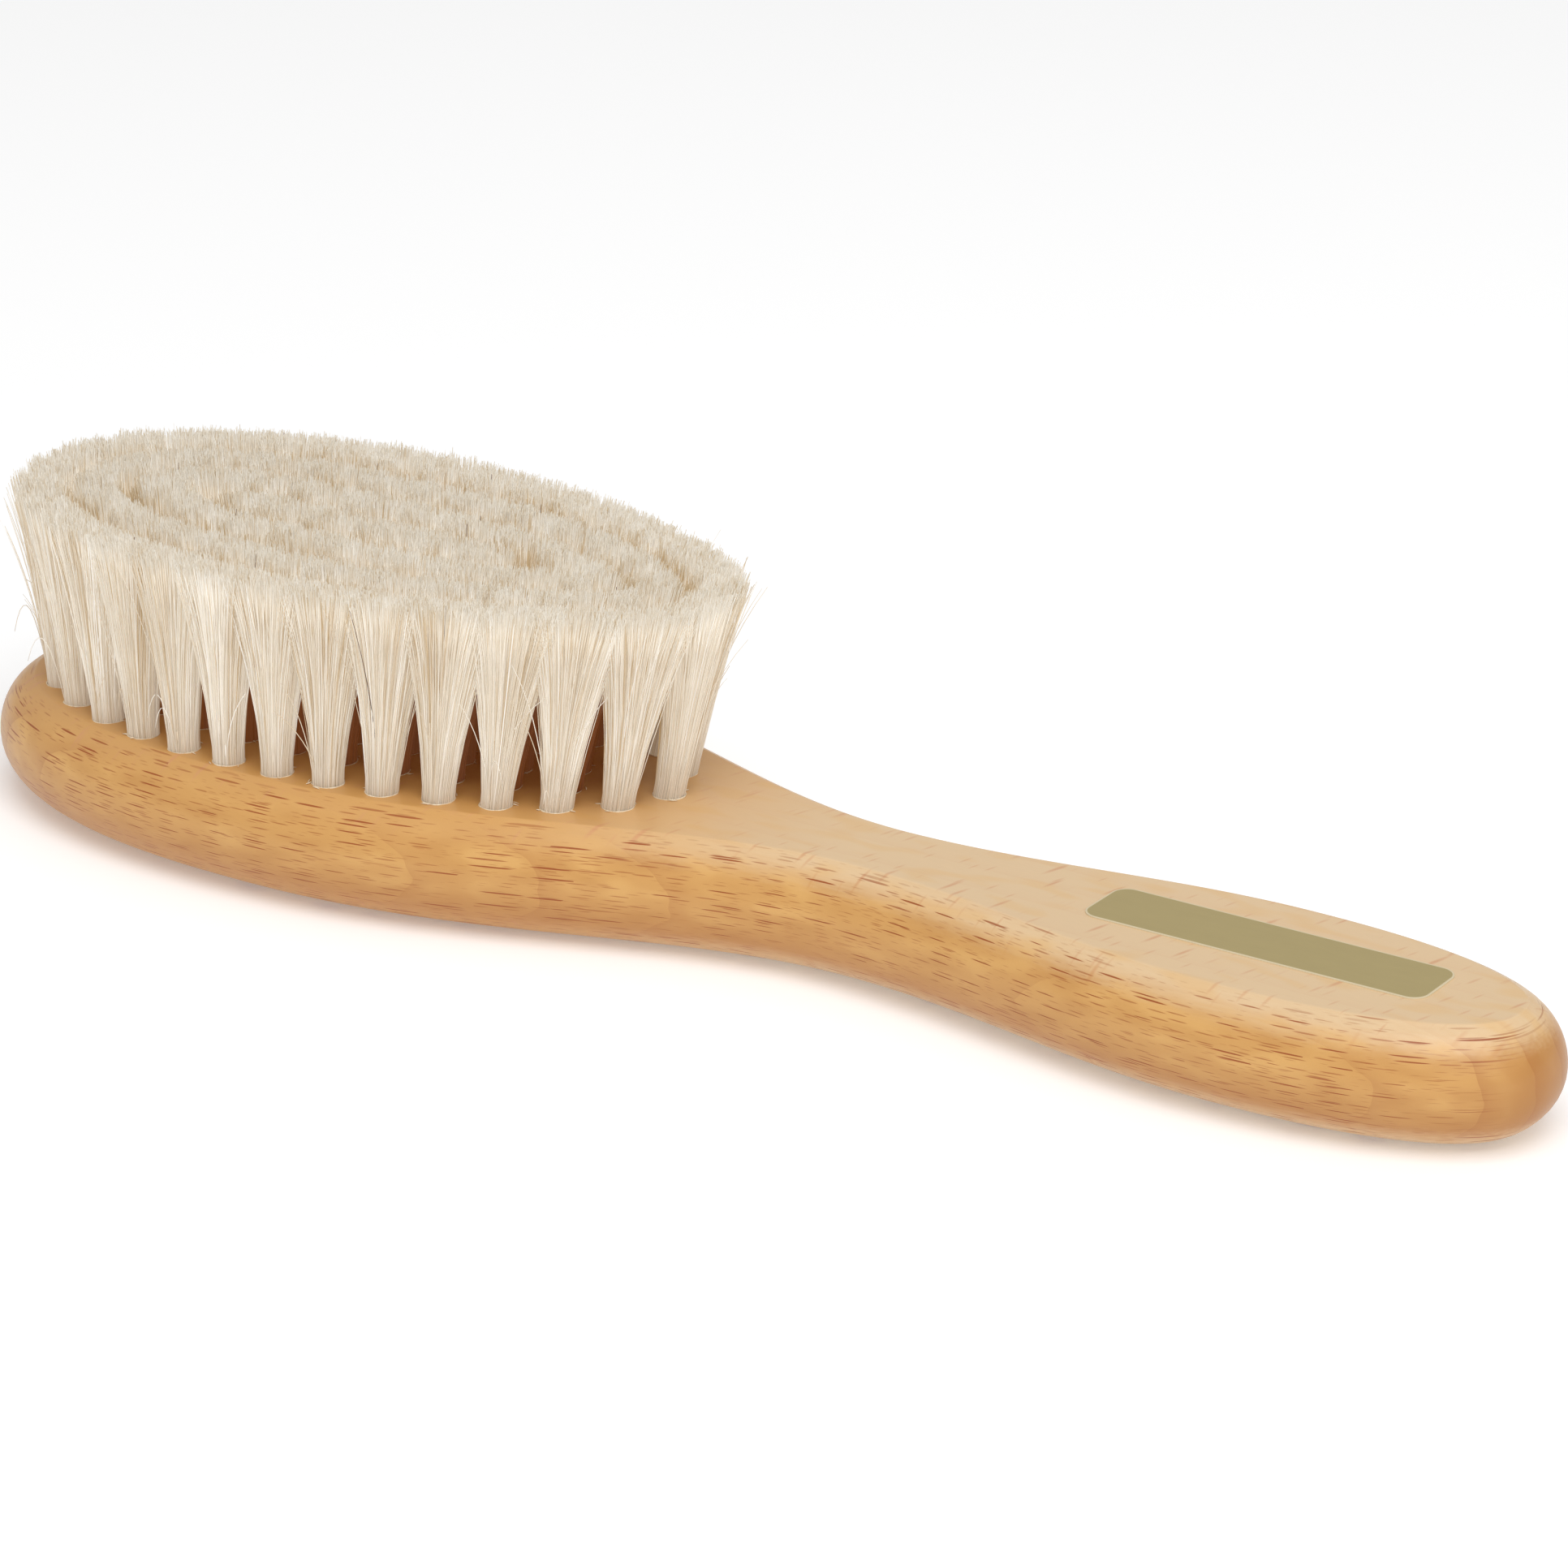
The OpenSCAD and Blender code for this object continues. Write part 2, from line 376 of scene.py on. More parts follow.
def add_piece(name, points, faces, finish, nodes=(), uv=None, sharp=None):
    """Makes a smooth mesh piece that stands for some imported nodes, and hangs it on the frame.

    points is an array of places and faces a list of index arrays, one for each number of
    corners. uv holds a place for every corner in the order of faces. sharp holds a number for
    every point: an edge whose two ends share a number above zero stays sharp.
    """
    corners = np.concatenate([f.ravel() for f in faces]).astype(np.int32)
    sizes = np.concatenate([np.full(len(f), f.shape[1]) for f in faces])
    starts = np.concatenate([[0], np.cumsum(sizes)[:-1]]).astype(np.int32)
    mesh = bpy.data.meshes.new(name)
    mesh.vertices.add(len(points))
    mesh.vertices.foreach_set("co", np.asarray(points, np.float32).ravel())
    mesh.loops.add(len(corners))
    mesh.loops.foreach_set("vertex_index", corners)
    mesh.polygons.add(len(sizes))
    mesh.polygons.foreach_set("loop_start", starts)
    mesh.update(calc_edges=True)
    mesh.polygons.foreach_set("use_smooth", np.ones(len(sizes), bool))
    if uv is not None:
        layer = mesh.uv_layers.new(name=BAKE_MAP)
        layer.uv.foreach_set("vector", np.asarray(uv, np.float32).ravel())
    if sharp is not None:
        ends = np.empty(2 * len(mesh.edges), np.int32)
        mesh.edges.foreach_get("vertices", ends)
        first, second = sharp[ends.reshape(-1, 2)].T
        mesh.edges.foreach_set("use_edge_sharp", (first == second) & (first > 0))
    if mesh.validate():
        raise RuntimeError(f"{name} had faulty faces")
    mesh.materials.append(finish)
    piece = new_object(name, mesh)
    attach(piece, BODY)
    if nodes:
        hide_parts(*nodes)


def grid_faces(rows, columns):
    """Quads between closed rows of points, which are numbered row by row."""
    row = np.arange(rows - 1)[:, None]
    column = np.arange(columns)[None, :]
    after = (column + 1) % columns
    low, high = row * columns, (row + 1) * columns
    return np.stack([low + column, low + after, high + after, high + column], -1).reshape(-1, 4)


def unit(vectors):
    """The same directions at length 1."""
    return vectors / np.linalg.norm(vectors, axis=-1, keepdims=True)


def circle(turn):
    """Points at these angles on a circle of radius 1, as an array of [x, y]."""
    return np.stack([np.cos(turn), np.sin(turn)], -1)


def in_disc(rng, shape):
    """Points spread evenly over a disc of radius 1: radius sqrt(u) at a random angle."""
    radius, turn = np.sqrt(rng.random(shape)), 2 * np.pi * rng.random(shape)
    return radius[..., None] * circle(turn)


def raised(flat, height):
    """Places [x, y] with a height for their z."""
    return np.concatenate([flat, np.broadcast_to(height, (*flat.shape[:-1], 1))], -1)


def parabola(start, bend, end, t):
    """Places at t from start to end: (1 - t)^2 start + 2 t (1 - t) bend + t^2 end."""
    return (1 - t) ** 2 * start + 2 * t * (1 - t) * bend + t**2 * end


# ---- shape of the wood


def ease(start, end, t):
    """Smooth step from start to end along half a cosine."""
    return (start + end) / 2 + (start - end) / 2 * np.cos(np.pi * t)


def outline_side(wood, inset, ends=44, waist=44, grip=26):
    """One side of the outline from nose to tail, drawn in by an inset, as an array of [x, y].

    Each round end is a quarter of a superellipse in so many steps: x and y follow cosine and
    sine to the power 2 / fullness. Between them y eases from the head to the neck, in the steps
    of waist, and on to the handle, in the steps of grip.
    """
    nose, tail = -wood.length / 2, wood.length / 2
    head_x, neck_x, grip_x = nose + wood.head_reach, nose + wood.neck_reach, tail - wood.grip_reach
    turn = np.linspace(0, np.pi / 2, ends + 1)
    along = np.clip(np.cos(turn), 0, 1) ** (2 / wood.end_fullness)
    across = np.sin(turn) ** (2 / wood.end_fullness)
    t, u = np.linspace(0, 1, waist + 1)[1:], np.linspace(0, 1, grip + 1)[1:]
    x = [
        head_x - (wood.head_reach - inset) * along,
        head_x + (neck_x - head_x) * t,
        neck_x + (grip_x - neck_x) * u,
        grip_x + (wood.grip_reach - inset) * along[-2::-1],
    ]
    y = [
        (wood.head_width / 2 - inset) * across,
        ease(wood.head_width, wood.neck_width, t**wood.neck_delay) / 2 - inset,
        ease(wood.neck_width, wood.grip_width, u) / 2 - inset,
        (wood.grip_width / 2 - inset) * across[-2::-1],
    ]
    return np.stack([np.concatenate(x), np.concatenate(y)], -1)


def outline_loop(wood, inset):
    """The whole outline, from the nose along +Y to the tail and back along -Y."""
    side = outline_side(wood, inset)
    return np.concatenate([side, side[-2:0:-1] * (1, -1)])


def edge_levels(wood, steps=12, crease_steps=5, handover=0.94):
    """Levels of the rounded edge as an array of [inset, height], from the back to the flat top.

    A quarter ellipse rises from the back to the shoulder and a part of an ellipse goes on to the
    flat. After a share handover of that part, a parabola softens the crease at its end.
    """
    shoulder = wood.thickness - wood.top_round_height
    a = np.linspace(np.pi / 2, 0, steps + 1)
    span = np.pi / 2 - wood.top_edge_slope
    b = np.linspace(0, handover * span, steps)[1:]
    reach, rise = 1 - math.sin(wood.top_edge_slope), math.cos(wood.top_edge_slope)
    back = [wood.back_round_width * (1 - np.cos(a)), shoulder * (1 - np.sin(a))]
    top = [
        wood.top_round_width * (1 - np.cos(b)) / reach,
        shoulder + wood.top_round_height * np.sin(b) / rise,
    ]
    start = np.array([top[0][-1], top[1][-1]])
    end = np.array([wood.top_round_width, wood.thickness])
    bend = end - (wood.crease_width, 0)
    crease = parabola(start, bend, end, np.linspace(0, 1, crease_steps + 1)[1:, None])
    return np.concatenate([np.stack(back, -1), np.stack(top, -1), crease])


# ---- places of the bores


def field_middle(wood, tufts):
    """Where the middle of the bored field lies along the brush."""
    return -wood.length / 2 + tufts.bore_margin + tufts.field_length / 2


def ring_insets(wood, tufts):
    """How far each ring lies inside the outer one: three equal steps lead to the centre row."""
    pitch = (wood.head_width / 2 - tufts.bore_margin) / 3
    return {"outer": 0, "middle": pitch, "inner": 2 * pitch}


def oval(wood, tufts, inset, turn):
    """Points of the egg-shaped ring at an inset from the outer one.

    x follows the cosine of the angle turn, and y its sine times 1 - taper times its cosine.
    """
    half = wood.head_width / 2 - tufts.bore_margin - inset
    y = half * np.sin(turn) * (1 - tufts.field_taper * np.cos(turn))
    x = field_middle(wood, tufts) + (tufts.field_length / 2 - inset) * np.cos(turn)
    return np.stack([x, y], -1)


def ring(wood, tufts, inset, count, samples=181):
    """Bores spaced evenly along one ring, from its end nearest the neck."""
    turn = np.linspace(0, 2 * np.pi, samples)
    steps = np.linalg.norm(np.diff(oval(wood, tufts, inset, turn), axis=0), axis=1)
    run = np.concatenate([[0], np.cumsum(steps)])
    places = np.interp(np.arange(count) * run[-1] / count, run, turn)
    return oval(wood, tufts, inset, places)


def bore_rings(wood, tufts):
    """The bores of each ring and of the centre row, as a dict of arrays of [x, y]."""
    rings = {
        kind: ring(wood, tufts, inset, getattr(tufts, f"{kind}_count"))
        for kind, inset in ring_insets(wood, tufts).items()
    }
    step = np.linalg.norm(rings["inner"][1] - rings["inner"][0])
    place = np.arange(tufts.centre_count) - (tufts.centre_count - 1) / 2
    x = field_middle(wood, tufts) + place * step
    rings["centre"] = np.stack([x, np.zeros(len(x))], -1)
    return rings


def ring_tangents(bores):
    """Directions along a closed ring at each of its bores."""
    return unit(np.roll(bores, -1, 0) - np.roll(bores, 1, 0))


def lean(wood, tufts, bores):
    """Where a tuft's axis meets the trimmed top, relative to its bore."""
    upright = -wood.length / 2 + tufts.upright_reach
    return (bores - (upright, 0)) * (tufts.fan_along, tufts.fan_across)


# ---- wood


def flat_filler(wood, bores, step=3 * MM, row_share=0.87, off_edge=1.2 * MM, off_bore=0.9 * MM):
    """Points [x, y] in a triangular pattern over the flat, clear of its edge and of the bores."""
    x = np.arange(-wood.length / 2, wood.length / 2, step)
    y = np.arange(-wood.head_width / 2, wood.head_width / 2, step * row_share)
    filler = np.stack(np.meshgrid(x, y), -1)
    filler[1::2, :, 0] += step / 2
    filler = filler.reshape(-1, 2)
    side = outline_side(wood, wood.top_round_width)
    half = np.interp(filler[:, 0], side[:, 0], side[:, 1], left=0, right=0)
    filler = filler[np.abs(filler[:, 1]) < half - off_edge]
    apart = np.linalg.norm(filler[:, None] - bores[None], axis=-1).min(1)
    return filler[apart > wood.bore_diameter / 2 + off_bore]


def bore_walls(wood, bores, slant, sides):
    """Places of the bores' walls as an array of bore, level, side and place.

    At the depth d the middle of a bore is at bore - slant d. The first three levels are its worn
    rim, a quarter round.
    """
    radius, worn = wood.bore_diameter / 2, wood.rim_chamfer
    reach = np.array([radius + worn, radius + 0.3 * worn, radius, radius])[:, None, None]
    depth = np.array([0, 0.35 * worn, worn, wood.bore_depth])[:, None, None]
    middle = bores[:, None, None] - slant[:, None, None] * depth
    mouth = circle(np.arange(sides) * 2 * np.pi / sides)
    return raised(middle + mouth * reach, wood.thickness - depth)


def wood_mesh(wood, tufts, sides=24):
    """Points, faces and sharpness numbers of the body.

    The edge is a grid: the outline at every level of the rounding. The back is closed by strips
    across it. The flat top is triangulated between the last outline and the mouths of the bores,
    and each bore goes down to a flat floor along its leaning axis.
    """
    levels = edge_levels(wood)
    loops = np.stack([outline_loop(wood, inset) for inset, _ in levels])
    rows, around = loops.shape[:2]
    skin = raised(loops, levels[:, 1, None, None]).reshape(-1, 3)
    stations = around // 2 + 1
    i = np.arange(1, stations - 2)
    back = np.stack([i, i + 1, around - i - 1, around - i], -1)
    tips = np.array([[0, 1, around - 1], [stations - 2, stations - 1, stations]])

    bores = np.concatenate(list(bore_rings(wood, tufts).values()))
    slant = lean(wood, tufts, bores) / tufts.height
    walls = bore_walls(wood, bores, slant, sides)
    down = walls.shape[1]
    floors = raised(bores - slant * wood.bore_depth, wood.thickness - wood.bore_depth)
    fill = raised(flat_filler(wood, bores), wood.thickness)

    wall_base, floor_base = len(skin), len(skin) + len(bores) * down * sides
    fill_base = floor_base + len(floors)
    first_wall = wall_base + np.arange(len(bores))[:, None] * down * sides
    mouths = first_wall + np.arange(sides)
    edge = (rows - 1) * around + np.arange(around)
    known = np.concatenate([edge, mouths.ravel(), fill_base + np.arange(len(fill))])
    points = np.concatenate([skin, walls.reshape(-1, 3), floors, fill])
    top = flat_top(points, known, around, len(bores), sides)

    wall = (first_wall[:, :, None] + grid_faces(down, sides)[None]).reshape(-1, 4)
    lowest = first_wall + (down - 1) * sides + np.arange(sides)
    centre = np.broadcast_to((floor_base + np.arange(len(bores)))[:, None], lowest.shape)
    floor = np.stack([centre, lowest, np.roll(lowest, -1, 1)], -1).reshape(-1, 3)
    sharp = np.zeros(len(points), np.int32)
    sharp[edge] = 1
    sharp[mouths] = 2 + np.arange(len(bores))[:, None]
    sharp[lowest] = 2 + len(bores) + np.arange(len(bores))[:, None]
    skin_faces = grid_faces(rows, around)[:, ::-1]
    return points, [skin_faces, back, wall, tips, top, floor], sharp


def flat_top(points, known, around, holes, sides):
    """Triangles of the flat top between its edge loop and the round holes.

    known lists the points of the flat: the edge loop, then each hole's loop, then filler points.
    """
    flat = [Vector(p) for p in points[known, :2]]
    hole = around + np.arange(holes)[:, None] * sides + np.arange(sides)
    links = np.concatenate(
        [
            np.stack([np.arange(around), np.roll(np.arange(around), -1)], -1),
            np.stack([hole, np.roll(hole, -1, 1)], -1).reshape(-1, 2),
        ]
    )
    outline = list(range(around))[::-1]
    inside_only, nearest = 1, 1e-7
    _, _, faces, origin, _, _ = delaunay_2d_cdt(
        flat, links.tolist(), [outline], inside_only, nearest
    )
    faces = np.array([[origin[i][0] for i in f] for f in faces])
    owner = np.where(faces < around, -1, (faces - around) // sides)
    owner[faces >= around + holes * sides] = -1
    in_hole = (owner[:, 0] >= 0) & (owner == owner[:, :1]).all(1)
    faces = faces[~in_hole]
    a, b, c = (points[known][faces[:, k], :2] for k in range(3))
    clockwise = np.cross(b - a, c - a) < 0
    faces[clockwise] = faces[clockwise][:, ::-1]
    return known[faces]


def wood_finish(colours):
    """Lacquered beech as a solid pattern, in millimetres.

    Growth rings are planes of nearly constant y with a dark late side. Rays are flat ribbons
    that lie along y: they end on the round sides as short thin dashes along x, and show on the
    flat top as soft flecks across it. Fine fibres and cloudy patches run along x. The flat top is
    painted paler as a reflection of the overhead light, mostly left out towards the nose where the
    tufts stand, and this painted reflection ends where the surface starts to slope, on a line that
    wavers a little with the streaks. Faces that turn down, and faces towards the two ends, get
    painted shade.
    """
    f = Finish("lacquered_beech", Coat_Weight=0.3, Coat_Roughness=0.22, Specular_IOR_Level=0.4)
    place = f.place()
    x, y, z = f.parts(place)
    endward, _, upright = f.parts(f.add("ShaderNodeTexCoord", output="Normal"))
    endward = endward.size()

    cloud = f.noise(place, (40, 12, 9), 0.0)
    streak = f.noise(place, (14, 2.2, 1.3), 0.5)
    blotch = f.noise(f.vector("ADD", place, (31, 17, 5)), (26, 9, 8), 0.3)
    fibre = f.noise(place, (7, 0.15, 0.15), 1.5)
    ring_gap, ring_shift, ring_waver, ray_skew = 4.12, 3.1, 0.6, 0.26
    ring = ((y + ring_shift + (cloud - 0.5) * ring_waver) / ring_gap).fraction()
    late = (1 - ring) ** 5
    # flat: share of the painted reflection of the top, by how far the surface faces up
    flat = (upright.size() + (streak - 0.5) * 0.12).step(0.45, 0.95)

    # Cell and half size, the share of the cells that hold a ray, and the share of it that is full
    rays = {
        "coarse": ((4.8, 13, 0.62), (2.3, 8, 0.09), 0.62, 0.7),
        "fine": ((2.8, 9, 0.38), (1.4, 5, 0.075), 0.85, 0.6),
        "faint": ((1.7, 6, 0.28), (0.8, 3, 0.06), 0.95, 0.4),
        "fleck": ((2.4, 8, 60), (0.42, 2.6, 45), 0.9, 0.1),
        "speck": ((1.5, 4.5, 60), (0.28, 1.5, 45), 0.9, 0.1),
    }
    skewed = f.joined(x - y * ray_skew, y, z)
    coarse, fine, faint, fleck, speck = (ray_mask(f, skewed, *ray) for ray in rays.values())
    steep = upright.step(0.95, 0.78) * endward.step(0.85, 0.4)
    coarse = coarse * steep

    round_colour = f.layered(
        colours.wood_side,
        (blotch.step(0.5, 0.75) * 0.5, colours.wood_band),
        (blotch.step(0.5, 0.2) * 0.25, colours.wood_deep),
        # Painted shade on faces that turn down
        (upright.step(0.25, -0.8) * 0.8, colours.wood_deep),
        (late * (0.08 + endward * 0.6), colours.wood_ring),
        # Painted shade on faces that turn towards the two ends
        (endward.step(0.45, 1.0) * 0.75, colours.wood_deep),
    )
    # The flat's colour starts from the paler painted reflection of the top
    flat_reflection_colour = f.layered(
        colours.wood_top,
        (blotch.step(0.5, 0.75) * 0.3, colours.wood_band),
        # Towards the nose, among the tufts, the painted reflection mostly gives way to the round's
        # colour
        (x.step(16, -20) * 0.95, colours.wood_side),
        (late * 0.08, colours.wood_fleck),
        (speck * 0.45, colours.wood_fleck),
        (fleck * 0.7, colours.wood_fleck),
    )
    colour = f.layered(
        f.mix(flat, round_colour, flat_reflection_colour),
        (faint * steep * 0.35, colours.wood_ray),
        (fine * steep * 0.6, colours.wood_ray),
        (coarse * 0.95, colours.wood_ray),
    )
    colour = f.shaded(colour, 0.95 + fibre * 0.1)
    rough = 0.4 + fibre * 0.12 + coarse * 0.1
    pits = fibre * 0.3 - coarse * 0.4
    return f.set(Base_Color=colour, Roughness=rough, Normal=f.bump(pits, 0.03 * MM))


def ray_mask(f, place, cell, size, chosen, core):
    """Ellipsoids of up to this half size, one in each cell, of which a share is chosen.

    Each is full within its core, a share of its size, and fades out from there.
    """
    scaled = f.vector("DIVIDE", place, cell)
    sockets = {"Vector": scaled, "Scale": 1.0, "Randomness": 0.85}
    spots = f.add("ShaderNodeTexVoronoi", None, sockets).socket.node
    luck, length, _ = f.parts(Wire(f, spots.outputs["Color"]))
    offset = f.vector("SUBTRACT", scaled, Wire(f, spots.outputs["Position"]))
    offset = f.vector("MULTIPLY", offset, [a / b for a, b in zip(cell, size, strict=True)])
    near = f.add("ShaderNodeVectorMath", {"operation": "LENGTH"}, {0: offset}, "Value")
    inside = (near / (0.55 + length * 0.45)).step(1.0, core)
    return inside * luck.step(1 - chosen, 1 - chosen * 0.7)


# ---- hair


def strands(paths, radii, turn, sides=3):
    """Points and faces of closed tubes swept along many paths at once.

    paths is an array of strand, step and place; radii gives each step's radius. The ring at a
    step is centre + radius (cos a side + sin a other), where side and other stand square to the
    path's direction there, side as near as can be to the level direction at angle turn.
    """
    count, steps = paths.shape[:2]
    ahead = unit(np.gradient(paths, axis=1))
    level = raised(circle(turn), 0)[:, None]
    side = unit(level - (level * ahead).sum(-1, keepdims=True) * ahead)
    other = np.cross(ahead, side)
    a = (np.arange(sides) * 2 * np.pi / sides)[:, None]
    wheel = np.cos(a) * side[:, :, None] + np.sin(a) * other[:, :, None]
    points = paths[:, :, None] + radii[:, :, None, None] * wheel
    base = (np.arange(count) * steps * sides)[:, None, None]
    tubes = (base + grid_faces(steps, sides)).reshape(-1, 4)
    start = base[:, 0] + np.arange(sides)[::-1]
    end = base[:, 0] + (steps - 1) * sides + np.arange(sides)
    return points.reshape(-1, 3), [tubes, start, end]


def strand_map(tones, share, sides=3, columns=64, edge=0.15, cap=0.01):
    """A place on the hair's map for every corner that strands() makes.

    Across, each strand has the column of its tone. Upwards, the map follows the strand from its
    root at 0 to its tip at 1. Every side of a strand covers the column but for its two edges,
    and each end's triangle covers a height cap of it.
    """
    count, steps = len(tones), len(share)
    column = np.clip(np.floor(tones * columns), 0, columns - 1)
    wide = np.array([edge, 1 - edge, 1 - edge, edge])
    u = (column[:, None, None, None] + wide) / columns
    low, high = share[:-1], share[1:]
    v = np.stack([low, low, high, high], -1)[None, :, None, :]
    shape = (count, steps - 1, sides, 4)
    tubes = np.stack([np.broadcast_to(u, shape), np.broadcast_to(v, shape)], -1)
    tip = np.array([edge, 0.5, 1 - edge])
    u = (column[:, None] + tip) / columns
    caps = []
    for at, into in ((share[0], cap), (share[-1], -cap)):
        v = np.broadcast_to(at + np.array([0, into, 0]), u.shape)
        caps.append(np.stack([u, v], -1).reshape(-1, 2))
    return np.concatenate([tubes.reshape(-1, 2), *caps])


def top_lines(wood, tufts, rings, steps=240):
    """The line of each row of tufts where it meets the trimmed top, as closely spaced points."""
    turn = np.linspace(0, 2 * np.pi, steps)
    insets = ring_insets(wood, tufts)
    lines = {kind: oval(wood, tufts, inset, turn) for kind, inset in insets.items()}
    first, last = rings["centre"][[0, -1]]
    lines["centre"] = first + (last - first) * np.linspace(0, 1, steps)[:, None]
    return {kind: line + lean(wood, tufts, line) for kind, line in lines.items()}


def trimmed_height(tufts, tips, kind, lines, rng):
    """Height of each trimmed end above the wood, and how far it lies in a furrow, from 0 to 1.

    The trim is level with a slow wave. On the way to the nearest other row it stays so for the
    share crown, and falls from there to the furrow's depth at half of the way. The furrow is
    deeper across the brush than along it, and comes and goes. A few hairs end lower down.
    """
    crown, wave_height, short_share, short_by = 0.22, 0.08 * MM, 0.03, 4 * MM
    others = np.concatenate([line for name, line in lines.items() if name != kind])
    to_own = np.linalg.norm(tips[:, None] - lines[kind][None], axis=-1)
    to_other = np.linalg.norm(tips[:, None] - others[None], axis=-1)
    mine, other = to_own.min(1), to_other.min(1)
    between = unit(others[to_other.argmin(1)] - lines[kind][to_own.argmin(1)])
    middle = np.clip((mine / (mine + other) - crown) / (0.5 - crown), 0, 1)
    x, y = tips.T
    lasting = 0.7 + 0.3 * np.sin(x / (4.3 * MM) + y / (2.9 * MM))
    dip = middle**1.2 * (0.3 + 0.7 * between[:, 1] ** 2) * lasting
    wave = np.sin(x / (5.1 * MM) + 2 * np.sin(y / (6.3 * MM)))
    wave += np.sin(y / (3.7 * MM) + 1.3 * np.sin(x / (8.9 * MM)))
    rough = rng.normal(0, tufts.ragged, len(tips)) + wave_height * wave
    short = (rng.random(len(tips)) < short_share) * rng.random(len(tips)) ** 2 * short_by
    return tufts.height - tufts.furrow_depth * dip + rough - short, dip


def fanned(wood, tufts, rings, kind, own, root, drawn, stray):
    """Mouth, lean and fan of hairs of one ring, each an array of [x, y].

    own tells each hair's bore, and root its place there as a share of the bundle's radius. Its
    place drawn is enlarged to the tuft's top, a rounded square that is longer along its ring:
    the square's edge lies at |a|^4 + |b|^4 = 1, so that neighbours close the gap between them.
    Before the upright tufts the fan narrows lengthwise, fully from pull_reach onwards.
    """
    pull_reach, tiny = 12 * MM, 1e-12
    if kind == "centre":
        tangent = np.tile([1.0, 0.0], (len(rings[kind]), 1))
    else:
        tangent = ring_tangents(rings[kind])
    along = tangent[own]
    across = np.stack([-along[:, 1], along[:, 0]], -1)
    part = np.stack([(drawn * along).sum(-1), (drawn * across).sum(-1)], -1)
    square = ((part**4).sum(-1, keepdims=True) + tiny) ** 0.25
    part *= np.linalg.norm(part, axis=-1, keepdims=True) / square
    part *= (tufts.top_along, tufts.top_across)
    spread = part[:, :1] * along + part[:, 1:] * across + stray
    bores = rings[kind][own]
    before = -wood.length / 2 + tufts.upright_reach - bores[:, 0]
    spread[:, 0] *= 1 - tufts.nose_pull * np.clip(before / pull_reach, 0, 1)
    mouth = root * tufts.root_radius
    return bores + mouth, lean(wood, tufts, bores), spread - mouth


def hair_lines(wood, tufts, mouth, slope, fan, share, height, bow):
    """Paths of hairs as an array of hair, step and place.

    At the share v of the trimmed height a hair stands at mouth + slope v + fan v ** bend +
    bow v (1 - v).
    """
    v = share[None, :, None] * (height / tufts.height)[:, None, None]
    up = np.clip(v, 0, None)
    flat = mouth[:, None] + slope[:, None] * v + fan[:, None] * up**tufts.fan_bend
    flat = flat + bow[:, None] * np.clip(v * (1 - v), 0, None)
    return raised(flat, wood.thickness + v * tufts.height)


def tuft_paths(wood, tufts, rings, kind, members, hairs, share, rng, wisps_each=34):
    """Paths and tones of all hairs of some tufts of one ring.

    Hairs are drawn towards the middle of the nearest of their tuft's wisps. They bow and stray
    at random, a few of them far. A hair's tone, from 0 to 1, is a middle one with a random part
    of its own and one of its wisp, and falls in the furrows as painted shade.
    """
    far_share, far_extra = 0.1, 1.4
    tone_middle, tone_by_hair, tone_by_wisp, shade_by_dip = 0.6, 0.2, 0.11, 1.6
    own = np.repeat(np.arange(len(members)), hairs)
    count = len(own)
    root = in_disc(rng, count)
    wisps = in_disc(rng, (len(members), wisps_each))
    wisp = np.linalg.norm(root[:, None] - wisps[own], axis=-1).argmin(1)
    drawn = root + tufts.wisp_pull * (wisps[own, wisp] - root)
    stray = rng.normal(0, tufts.scatter, (count, 2))
    stray *= 1 + far_extra * (rng.random((count, 1)) < far_share)
    mouth, slope, fan = fanned(wood, tufts, rings, kind, members[own], root, drawn, stray)

    lines = top_lines(wood, tufts, rings)
    height, dip = trimmed_height(tufts, mouth + slope + fan, kind, lines, rng)
    bow = rng.normal(0, tufts.bow, (count, 2))
    # Painted shade: hairs that end in a furrow get a darker tone
    tone = tone_middle + tone_by_hair * rng.standard_normal(count) - shade_by_dip * dip
    tone += tone_by_wisp * rng.standard_normal(wisps.shape[:2])[own, wisp]
    paths = hair_lines(wood, tufts, mouth, slope, fan, share, height, bow)
    return paths, np.clip(tone, 0, 0.999)


def hair_piece(name, wood, tufts, rings, kind, members, finish, nodes, seed):
    """One piece that holds all hairs of some tufts, each hair thinner towards its tip."""
    thinnest, spread, taper = 0.75, 0.65, 0.3
    rng = np.random.default_rng(seed)
    outer = kind == "outer"
    root = -tufts.in_bore / tufts.height
    share = np.array([root, 0.07, 0.3, 0.54, 0.78, 1] if outer else [root, 0.1, 0.55, 1])
    hairs = tufts.outer_hairs if outer else tufts.inner_hairs
    paths, tones = tuft_paths(wood, tufts, rings, kind, members, hairs, share, rng)
    thick = tufts.hair_radius * (thinnest + spread * rng.random((len(paths), 1)) ** 2)
    radii = thick * (1 - taper * np.clip(share, 0, 1) ** 2)
    points, faces = strands(paths, radii, 2 * np.pi * rng.random(len(paths)))
    uv = strand_map(tones, (share - root) / (1 - root))
    add_piece(name, points, faces, finish, nodes, uv)


